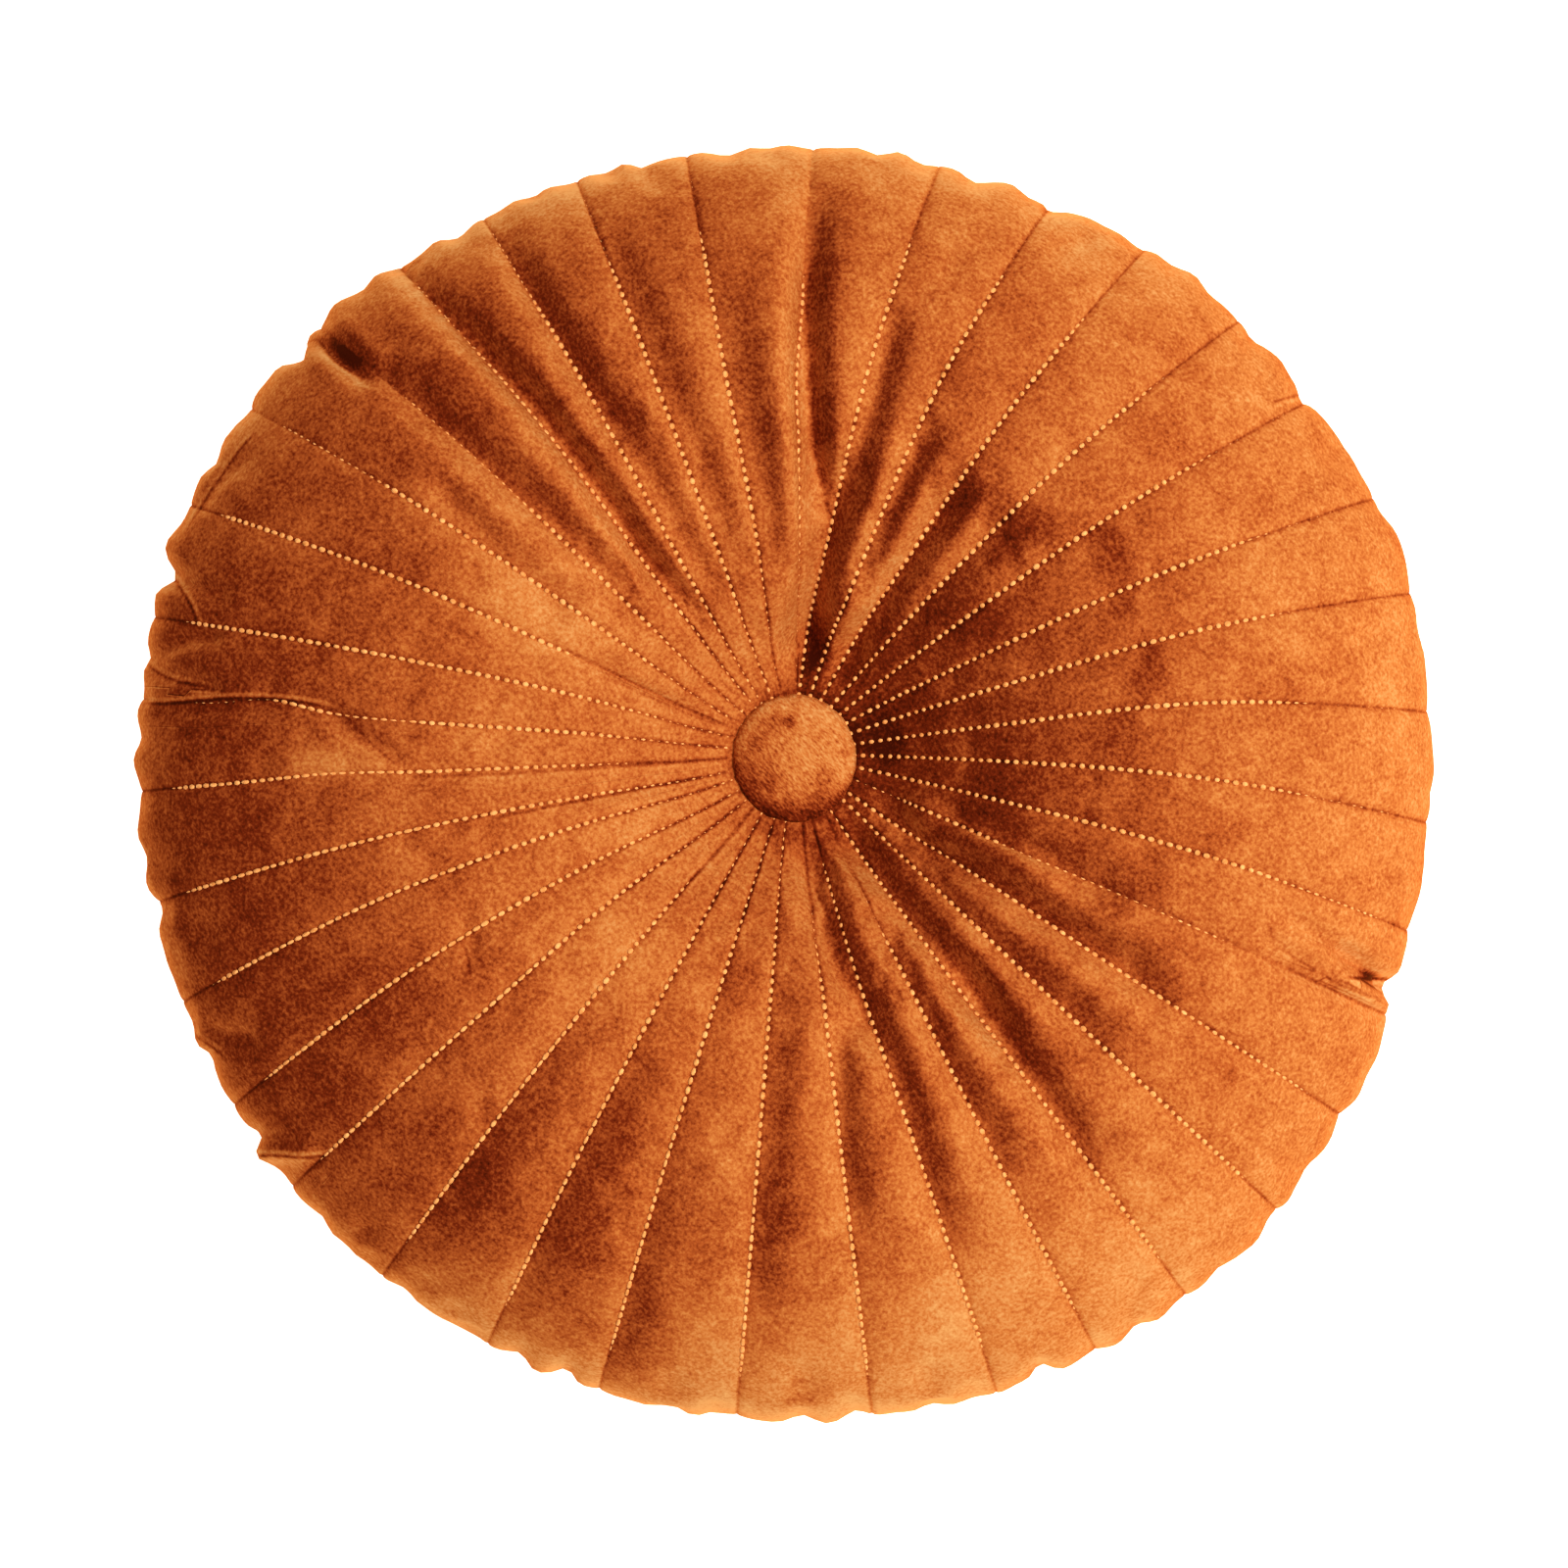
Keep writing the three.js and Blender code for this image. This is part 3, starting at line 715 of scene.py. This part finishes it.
def blown_up_offsets(places, distances):
    """Blows up a coarse cover that is held at its seams, and gives how far each point moved."""
    start = cover_grid(places, distances, CAGE_SLACK)
    start[..., 2] = np.maximum(start[..., 2], 0)
    columns, rows = start.shape[:2]
    chance = np.random.default_rng(11)
    start += grid_normals(start) * chance.normal(0, CAGE_UNEVENNESS, (columns, rows, 1))
    mesh = mesh_of("cage", with_poles(start), grid_faces(columns, rows))
    cage = new_piece("cage", mesh)

    radius = OUTLINE.read(OUTLINE.points, distances)[:, 0]
    across = places - np.floor(places)
    held = np.zeros((columns, rows))
    held[across == 0] = 1.0
    held[:, radius < HELD_HUB] = 1.0
    held[:, (radius < HELD_BACK) & (distances > OUTLINE.front_length)] = 1.0
    group = cage.vertex_groups.new(name="sewn")
    poles = [columns * rows, columns * rows + 1]
    group.add(np.flatnonzero(held.ravel() > 0).tolist() + poles, 1.0, "REPLACE")

    cloth = cage.modifiers.new("cloth", "CLOTH")
    settings = cloth.settings
    settings.quality = 5
    settings.mass = 0.2
    settings.tension_stiffness = 12
    settings.compression_stiffness = 12
    settings.shear_stiffness = 4
    settings.bending_stiffness = 2.0
    settings.vertex_group_mass = "sewn"
    settings.use_pressure = True
    settings.uniform_pressure_force = 4
    settings.shrink_min = -0.004
    settings.effector_weights.gravity = 0
    cloth.collision_settings.use_collision = False
    cloth.point_cache.frame_start = 1
    cloth.point_cache.frame_end = SIMULATED_FRAMES
    scene = bpy.context.scene
    for number in range(1, SIMULATED_FRAMES + 1):
        scene.frame_set(number)
    graph = bpy.context.evaluated_depsgraph_get()
    settled = cage.evaluated_get(graph).data
    after = np.empty(len(settled.vertices) * 3)
    settled.vertices.foreach_get("co", after)
    after = after.reshape(-1, 3)[: columns * rows].reshape(columns, rows, 3) / MM
    scene.frame_set(1)
    bpy.data.objects.remove(cage)

    moved = after - start
    far = np.linalg.norm(moved, axis=2, keepdims=True)
    return moved * np.minimum(1, MOST_MOVE / np.maximum(far, 1e-6))


def hex_colour(code):
    """An sRGB hex colour as Blender's linear one."""
    parts = [int(code[i:i + 2], 16) / 255 for i in (1, 3, 5)]
    linear = [p / 12.92 if p <= 0.04045 else ((p + 0.055) / 1.055) ** 2.4 for p in parts]
    return (*linear, 1.0)


def add_node(tree, kind, inputs=None, stops=(), **settings):
    """Adds a node.

    An input is a plain value or another node's output, by the socket's name or number. Stops are a
    colour ramp's positions and hex colours.
    """
    node = tree.nodes.new(kind)
    for name, value in settings.items():
        setattr(node, name, value)
    for key, value in (inputs or {}).items():
        socket = node.inputs[key]
        if isinstance(value, bpy.types.NodeSocket):
            tree.links.new(value, socket)
        else:
            socket.default_value = value
    if stops:
        elements = node.color_ramp.elements
        while len(elements) < len(stops):
            elements.new(0.5)
        for element, (position, code) in zip(elements, stops):
            element.position = position
            element.color = hex_colour(code)
    return node


def maths(tree, operation, *values):
    """A sum worked out by a node, from plain values or other nodes' outputs."""
    return add_node(tree, "ShaderNodeMath", dict(enumerate(values)), operation=operation).outputs[0]


def noise(tree, place, size, **inputs):
    """Cloudy noise whose largest marks are about this many metres across."""
    inputs = {"Vector": place, "Scale": 1 / size, **inputs}
    return add_node(tree, "ShaderNodeTexNoise", inputs).outputs["Fac"]


def new_material(name):
    material = bpy.data.materials.new(name)
    material.use_nodes = True
    tree = material.node_tree
    tree.nodes.clear()
    return material, tree


def velvet(name, stops, mottle=1.0, speckle=1.0, grain=(1, 1, 1)):
    """Woven velvet with a short dense pile, mottled in clouds where it has been brushed.

    Light and shade are painted into its colour: it is painted deep on slopes that face away from the light,
    and paler and yellower on those that face it. The grain draws the pile's speckle out into short strokes.
    """
    material, tree = new_material(name)
    place = add_node(tree, "ShaderNodeTexCoord").outputs["Object"]
    patchy_tone = noise(tree, place, 0.026, Detail=3.0, Roughness=0.6, Distortion=0.5)
    clouds = noise(tree, place, 0.008, Detail=5.0, Roughness=0.7, Distortion=0.8)
    strokes = add_node(tree, "ShaderNodeMapping", {
        "Vector": place, "Rotation": (0, 0, math.radians(-45)), "Scale": grain,
    }, vector_type="TEXTURE").outputs[0]
    pile = noise(tree, strokes, 0.0011, Detail=2.0, Roughness=0.6)
    # Painted light and shade, and the painted shade of seam channels and creases, come in as attributes.
    light_and_nap = add_node(tree, "ShaderNodeAttribute", attribute_name="light_and_nap").outputs["Fac"]
    channel_and_shade = add_node(tree, "ShaderNodeAttribute", attribute_name="channel_and_shade").outputs["Fac"]
    crease = add_node(tree, "ShaderNodeAttribute", attribute_name="crease").outputs["Vector"]
    past, dark, lip = add_node(tree, "ShaderNodeSeparateXYZ", {0: crease}).outputs
    # The painted shade in a crease, and the painted highlight on the lip beside it.
    lines = []
    for middle, half_width, strength in ((0.0, 0.8, dark), (1.2, 1.1, lip)):
        gap = maths(tree, "ABSOLUTE", maths(tree, "SUBTRACT", past, middle))
        line = add_node(tree, "ShaderNodeMapRange", {
            "Value": gap, "From Min": half_width, "From Max": 0.0,
        }, interpolation_type="SMOOTHSTEP").outputs[0]
        lines.append(maths(tree, "MULTIPLY", line, strength))
    # The mottle swings about the middle colour, and the painted light and shade of slopes, seam channels and
    # creases move it from there.
    shares = ((patchy_tone, 0.4 * mottle), (clouds, 0.45 * mottle), (pile, 0.8 * speckle))
    total = 0.5 - sum(share for source, share in shares) / 2
    for source, share in (*shares, (light_and_nap, 1.25), (channel_and_shade, -0.4), (lines[0], -0.4), (lines[1], 0.3)):
        total = maths(tree, "MULTIPLY_ADD", source, share, total)
    colour = add_node(tree, "ShaderNodeValToRGB", {"Fac": total}, stops).outputs["Color"]
    rough = maths(tree, "MULTIPLY_ADD", clouds, 0.3, 0.6)
    soft = add_node(tree, "ShaderNodeBump", {"Height": clouds, "Strength": 0.5, "Distance": 0.15 * MM})
    pressed = maths(tree, "MULTIPLY_ADD", lines[0], -1.5, pile)
    fine = add_node(tree, "ShaderNodeBump", {
        "Height": pressed, "Strength": 0.5, "Distance": 0.25 * MM, "Normal": soft.outputs[0],
    })
    shader = add_node(tree, "ShaderNodeBsdfPrincipled", {
        "Base Color": colour,
        "Roughness": rough,
        "Normal": fine.outputs[0],
        "Specular IOR Level": 0.0,
        "Sheen Weight": 0.5,
        "Sheen Roughness": 0.3,
        "Sheen Tint": hex_colour("#FF9848"),
    })
    add_node(tree, "ShaderNodeOutputMaterial", {"Surface": shader.outputs[0]})
    return material


def polyester_thread():
    """Twisted polyester thread: smooth, with a soft shine."""
    material, tree = new_material("polyester_thread")
    place = add_node(tree, "ShaderNodeTexCoord").outputs["Object"]
    twist = noise(tree, place, 0.0015, Detail=1.0)
    stops = ((0.3, "#DC9250"), (0.7, "#FFBE7A"))
    colour = add_node(tree, "ShaderNodeValToRGB", {"Fac": twist}, stops)
    shader = add_node(tree, "ShaderNodeBsdfPrincipled", {
        "Base Color": colour.outputs["Color"],
        "Roughness": 0.6,
        "Specular IOR Level": 0.1,
    })
    add_node(tree, "ShaderNodeOutputMaterial", {"Surface": shader.outputs[0]})
    return material


def closed_over(seam, radius):
    """How far the pile closes over the thread in the hidden stretches."""
    total = np.zeros_like(radius)
    for hidden in HIDDEN:
        inside = smooth(radius, hidden.near - 5, hidden.near + 5) * smooth(hidden.far - radius, -5, 5)
        total += hidden.deep * inside * (seam == hidden.seam)
    return total


def seam_sink(seam, bearing, radius):
    """How deep the thread lies in all: most at the rim and the outer top and right, less by the button."""
    top = sector(88, 42, bearing) * smooth(radius, 138, 156)
    right = sector(15, 40, bearing) * smooth(radius, 126, 152)
    left = sector(190, 95, bearing, 6) * (1 - smooth(radius, 32, 80))
    total = 0.8 * top + 0.75 * right + 0.5 * left + 0.9 * smooth(radius, 172, 184)
    total += 0.16 * (1 - smooth(radius, 30, 75))
    return np.minimum(total + closed_over(seam, radius), 1.3)


def build_cover(material):
    """The velvet cover, and the lines its seams run on, as arrays of points and normals."""
    places = swell_columns(ACROSS)
    distances = row_distances(FRONT_ROW_STEP, BACK_ROW_STEP)
    points = cover_grid(places, distances)
    cage_places = swell_columns(CAGE_ACROSS)
    cage_distances = row_distances(CAGE_ROW_STEP, CAGE_ROW_STEP)
    moved = blown_up_offsets(cage_places, cage_distances)
    full = cover_grid(cage_places, cage_distances)
    slack = cover_grid(cage_places, cage_distances, CAGE_SLACK)
    change = np.swapaxes(moved - (full - slack), 0, 1)
    cage_rows = np.interp(distances, cage_distances, np.arange(len(cage_distances)))
    by_row = np.swapaxes(spline_at(change, cage_rows), 0, 1)
    points += spline_at(by_row, places * len(CAGE_ACROSS), closed=True)

    index = np.floor(places).astype(int)
    across = (places - index)[:, None]
    radius, bearing = polar(points)
    row_radius = OUTLINE.read(OUTLINE.points, distances)[:, 0]
    edges = seam_bearings(row_radius, distances < OUTLINE.front_length)
    swell_width = np.radians(edges[index + 1] - edges[index]) * radius
    seam_gap = np.minimum(across, 1 - across) * swell_width
    shown = smooth(radius, 17, 24)

    chance = np.random.default_rng(5)
    channel_and_shade = np.exp(-((seam_gap / DITCH_HALF_WIDTH) ** 2)) * shown
    detail = -DITCH_DEPTH * channel_and_shade
    nearest = np.where(across[:, 0] < 0.5, index, index + 1) % SWELLS
    # The velvet puckers beside the stitches, in waves along each seam.
    for wave, size in ((9.0, 0.08), (5.6, 0.05), (14.0, 0.1)):
        phase = chance.uniform(0, 2 * np.pi, SWELLS)[nearest][:, None]
        swing = chance.uniform(0.85, 1.15, SWELLS)[nearest][:, None]
        ripple = np.sin(2 * np.pi * distances[None] / (wave * swing) + phase)
        detail += size * ripple * np.exp(-seam_gap / 4.5) * smooth(seam_gap, 0, 2.0) * shown
    points += grid_normals(points) * detail[..., None]
    points[..., 2] = np.maximum(points[..., 2], 0)

    columns, rows = points.shape[:2]
    mesh = mesh_of("velvet_cover", with_poles(points), grid_faces(columns, rows))
    normals = grid_normals(points)
    sink = seam_sink(nearest[:, None], bearing, radius)
    # Painted shade: the seam channels are painted darker, more where the thread lies deeper and less where
    # the pile closes over it, and a painted shadow rings the button.
    button_shadow = np.exp(-(((radius - BUTTON_RADIUS - 0.2) / 0.8) ** 2)) * BUTTON_SHADE
    closed = smooth(closed_over(nearest[:, None], radius), 0.2, 0.6)
    channel_and_shade = np.maximum(channel_and_shade * blend(0.5, 0.8, np.minimum(sink, 1)) * (1 - 0.7 * closed), button_shadow)
    point_values(mesh, "channel_and_shade", "FLOAT", np.append(channel_and_shade.ravel(), [0, 0]))
    point_values(mesh, "light_and_nap", "FLOAT", np.append(painted_light_and_nap(points, normals).ravel(), [0, 0]))
    at_poles = [[CREASE_REACH, 0, 0]] * 2
    point_values(mesh, "crease", "FLOAT_VECTOR", np.concatenate([crease_values(points), at_poles]))
    mesh.shade_smooth()
    cover = new_piece("velvet_cover", mesh, material)

    seam_columns = np.flatnonzero(across[:, 0] == 0)
    lines = {
        "points": points[seam_columns],
        "normals": normals[seam_columns],
        "sink": sink[seam_columns],
        "distances": distances,
    }
    return cover, lines


def stitch_tree():
    """Lays a small thread bump every so far along each line, its length along the seam."""
    tree = bpy.data.node_groups.new("stitches", "GeometryNodeTree")
    face = tree.interface
    face.new_socket("Geometry", in_out="INPUT", socket_type="NodeSocketGeometry")
    for name in STITCH:
        face.new_socket(name, in_out="INPUT", socket_type="NodeSocketFloat")
    face.new_socket("Material", in_out="INPUT", socket_type="NodeSocketMaterial")
    face.new_socket("Geometry", in_out="OUTPUT", socket_type="NodeSocketGeometry")
    given = add_node(tree, "NodeGroupInput").outputs
    line = add_node(tree, "GeometryNodeMeshToCurve", {"Mesh": given["Geometry"]})
    spaced = add_node(tree, "GeometryNodeResampleCurve", {
        "Curve": line.outputs[0], "Length": given["Pitch"],
    }, mode="LENGTH")
    bump = add_node(tree, "GeometryNodeMeshUVSphere", {"Segments": 6, "Rings": 4, "Radius": 0.5})
    size = add_node(tree, "ShaderNodeCombineXYZ", {
        0: given["Length"], 1: given["Width"], 2: given["Height"],
    })
    lying = add_node(tree, "GeometryNodeTransform", {
        "Geometry": bump.outputs["Mesh"], "Rotation": (0, math.pi / 2, 0),
    })
    shaped = add_node(tree, "GeometryNodeTransform", {
        "Geometry": lying.outputs[0], "Scale": size.outputs[0],
    })
    up = add_node(tree, "GeometryNodeInputNamedAttribute", {"Name": "lift"}, data_type="FLOAT_VECTOR")
    along = add_node(tree, "GeometryNodeInputTangent")
    turn = add_node(tree, "FunctionNodeAxesToRotation", {
        "Primary Axis": along.outputs[0], "Secondary Axis": up.outputs[0],
    }, primary_axis="X", secondary_axis="Z")
    vary = add_node(tree, "FunctionNodeRandomValue", {"Seed": 3}, data_type="FLOAT_VECTOR")
    vary.inputs[0].default_value = (0.82, 0.85, 0.8)
    vary.inputs[1].default_value = (1.18, 1.15, 1.2)
    pulled = add_node(tree, "GeometryNodeInputNamedAttribute", {"Name": "pulled"}, data_type="FLOAT_VECTOR")
    scale = add_node(tree, "ShaderNodeVectorMath", {
        0: vary.outputs[0], 1: pulled.outputs[0],
    }, operation="MULTIPLY")
    laid = add_node(tree, "GeometryNodeInstanceOnPoints", {
        "Points": spaced.outputs[0], "Instance": shaped.outputs[0],
        "Rotation": turn.outputs[0], "Scale": scale.outputs[0],
    })
    real = add_node(tree, "GeometryNodeRealizeInstances", {0: laid.outputs[0]})
    shaded = add_node(tree, "GeometryNodeSetShadeSmooth", {0: real.outputs[0]})
    coated = add_node(tree, "GeometryNodeSetMaterial", {0: shaded.outputs[0], "Material": given["Material"]})
    add_node(tree, "NodeGroupOutput", {0: coated.outputs[0]})
    return tree


def stitch_shape(points):
    """The share of a stitch's length, width and height at each point.

    Stitches are pulled long and thin at the lower left, and are smaller near the button.
    """
    radius, bearing = polar(points)
    long = sector(222, 62, bearing) * smooth(radius, 60, 110)
    small = 1 - smooth(radius, 30, 80)
    length = 1 + 0.3 * long - 0.16 * small
    width = 1 - 0.2 * long - 0.2 * small
    return np.stack([length, width, np.ones_like(radius)], axis=-1)


def build_stitching(name, tree, material, lines, rows):
    """One row of topstitching on every seam, over these rows of the cover."""
    points = lines["points"][:, rows]
    normals = lines["normals"][:, rows]
    lift = STITCH_LIFT - lines["sink"][:, rows]
    points = points + normals * lift[..., None]
    seams, steps = points.shape[:2]
    starts = np.arange(seams)[:, None] * steps + np.arange(steps - 1)[None, :]
    edges = np.stack([starts.ravel(), starts.ravel() + 1], axis=1).tolist()
    mesh = mesh_of(name, points.reshape(-1, 3), edges=edges)
    point_values(mesh, "lift", "FLOAT_VECTOR", normals.reshape(-1, 3))
    point_values(mesh, "pulled", "FLOAT_VECTOR", stitch_shape(points).reshape(-1, 3))
    piece = new_piece(name, mesh)
    maker = piece.modifiers.new("stitches", "NODES")
    maker.node_group = tree
    given = {part: size * MM for part, size in STITCH.items()}
    given["Material"] = material
    for socket in tree.interface.items_tree:
        if socket.name in given:
            maker[socket.identifier] = given[socket.name]
    graph = bpy.context.evaluated_depsgraph_get()
    made = bpy.data.meshes.new_from_object(piece.evaluated_get(graph), depsgraph=graph)
    piece.modifiers.clear()
    for vertex in made.vertices:
        vertex.co.z = max(vertex.co.z, 0)  # stitches under the cushion are pressed flat by the floor
    piece.data = made
    return piece


def build_button(name, node, material, facing):
    """A velvet-covered button: a low dome whose cover is drawn under its edge."""
    low, high = (np.array(corner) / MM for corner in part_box(node))
    middle = (low + high) / 2
    base = (low[2] if facing > 0 else high[2]) - facing * BUTTON_SINK
    sides = 120
    shoulder = BUTTON_HEIGHT * 0.42
    profile = []
    for turn in np.linspace(0, np.pi / 2, 16):
        reach = np.sin(turn) ** 0.9 * (BUTTON_RADIUS - 0.2)
        profile.append((reach, shoulder + (BUTTON_HEIGHT - shoulder) * np.cos(turn) ** 0.9))
    for turn in np.linspace(0, np.pi * 0.7, 8):
        reach = BUTTON_RADIUS - BUTTON_EDGE + BUTTON_EDGE * np.cos(turn)
        profile.append((reach, shoulder - 1.8 * np.sin(turn + 0.2)))
    profile += [(BUTTON_RADIUS - 5, 0.1), (1.0, 0.1)]
    profile = np.array(profile)
    turn = np.linspace(0, 2 * np.pi, sides, endpoint=False)[:, None]
    chance = np.random.default_rng(2)
    radius = profile[None, 1:, 0] * np.ones((sides, 1))
    height = profile[None, 1:, 1] * np.ones((sides, 1))
    edge = smooth(radius, BUTTON_RADIUS - 5, BUTTON_RADIUS)
    for count in (9, 14, 23, 31):
        radius = radius + 0.07 * edge * np.sin(count * turn + chance.uniform(0, 6))
        height = height + 0.06 * edge * np.sin(count * turn + chance.uniform(0, 6))
    points = np.stack([
        middle[0] + radius * np.cos(turn),
        middle[1] + BUTTON_SHIFT + facing * radius * BUTTON_TALL * np.sin(turn),
        base + facing * height,
    ], axis=-1)
    mesh = mesh_of(name, with_poles(points), grid_faces(*points.shape[:2]))
    # Painted light makes the button paler towards its far right, and painted shade darkens it round its near
    # edge.
    aside = (points[..., 0] - middle[0]) / BUTTON_RADIUS
    ahead = (points[..., 1] - middle[1] - BUTTON_SHIFT) / (BUTTON_RADIUS * BUTTON_TALL)
    light_and_nap = 0.11 + 0.06 * aside + 0.1 * ahead
    light_and_nap -= 0.31 * smooth(np.hypot(0.88 * aside, ahead - 0.2), 0.78, 1.12)
    for spot in BUTTON_SPOTS:
        gap = np.hypot((aside - spot.right) / spot.wide, (ahead - spot.away) / spot.tall)
        light_and_nap -= spot.strength * np.exp(-(gap ** 2))
    point_values(mesh, "light_and_nap", "FLOAT", np.append(light_and_nap.ravel(), [0.11, 0.11]))
    mesh.shade_smooth()
    return new_piece(name, mesh, material)


def paper_floor():
    """A pale seamless paper sweep, matt and without marks."""
    material, tree = new_material("studio_paper")
    shader = add_node(tree, "ShaderNodeBsdfPrincipled", {
        "Base Color": hex_colour("#F4F2EF"),
        "Roughness": 0.95,
        "Emission Color": hex_colour("#FFF6EA"),
        "Emission Strength": 0.95,
    })
    add_node(tree, "ShaderNodeOutputMaterial", {"Surface": shader.outputs[0]})
    side = 2500
    corners = [(-side, -side, 0), (side, -side, 0), (side, side, 0), (-side, side, 0)]
    floor = new_piece("floor", mesh_of("floor", corners, [(0, 1, 2, 3)]), material)


def area_light(name, bearing, elevation, distance, width, energy, colour="#FFFFFF"):
    data = bpy.data.lights.new(name, "AREA")
    data.shape = "DISK"
    data.size = width
    data.energy = energy
    data.color = hex_colour(colour)[:3]
    light = bpy.data.objects.new(name, data)
    bpy.context.scene.collection.objects.link(light)
    flat = math.cos(math.radians(elevation))
    towards = Vector((
        flat * math.cos(math.radians(bearing)),
        flat * math.sin(math.radians(bearing)),
        math.sin(math.radians(elevation)),
    ))
    light.location = towards * distance
    light.rotation_euler = towards.to_track_quat("Z", "Y").to_euler()


def studio():
    """Soft light mostly from the right, a camera straight above, and the view's contrast."""
    scene = bpy.context.scene
    area_light("window", -3, 60, 2.2, 0.8, 36.5, "#FFFAF2")
    area_light("overhead", 90, 88, 2.4, 1.6, 8)
    world = bpy.data.worlds.new("studio")
    world.use_nodes = True
    sky = world.node_tree.nodes["Background"]
    sky.inputs["Color"].default_value = hex_colour("#FFF2E2")
    sky.inputs["Strength"].default_value = 0.36
    scene.world = world

    camera_height = 1.8
    frame_width = 0.4585  # the photo's width at the rim
    data = bpy.data.cameras.new("camera")
    data.sensor_width = 36
    data.lens = data.sensor_width * (camera_height - RIM_HEIGHT * MM) / frame_width
    camera = bpy.data.objects.new("camera", data)
    camera.location = (0, 0, camera_height)
    scene.collection.objects.link(camera)
    scene.camera = camera
    scene.view_settings.view_transform = "Standard"
    scene.view_settings.look = "Medium High Contrast"


studio()
paper_floor()

# The velvet's colours: the dark end is painted shade and the pale end painted light, with the mottle
# between.
VELVET_LIGHT_AND_SHADE_STOPS = (
    (0.0, "#48190A"),
    (0.25, "#7A3015"),
    (0.5, "#AE5C2D"),
    (0.7, "#C67C42"),
    (1.0, "#D8A268"),
)
pad_velvet = velvet("cotton_velvet", VELVET_LIGHT_AND_SHADE_STOPS)
button_velvet = velvet("button_velvet", VELVET_LIGHT_AND_SHADE_STOPS, mottle=1.25, speckle=1.4, grain=(1.35, 0.6, 1))
thread = polyester_thread()

gather = np.mean(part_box("back_button"), axis=0)
gather[2] = 0
cover, seam_lines = build_cover(pad_velvet)
cover.data.transform(Matrix.Translation(gather.tolist()))
seam_lines["points"] = seam_lines["points"] + gather / MM
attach(cover, "root")
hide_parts("cushion_pad")

row_radius = OUTLINE.read(OUTLINE.points, seam_lines["distances"])[:, 0]
on_front = seam_lines["distances"] < OUTLINE.front_length
sewn = row_radius > 17.0
tree = stitch_tree()
for name, rows in (("front_stitching", on_front & sewn), ("back_stitching", ~on_front & sewn)):
    stitching = build_stitching(name, tree, thread, seam_lines, rows)
    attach(stitching, "root")

for node, facing in (("front_button", 1), ("back_button", -1)):
    button = build_button(node + "_cover", node, button_velvet, facing)
    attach(button, "root")
    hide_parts(node)
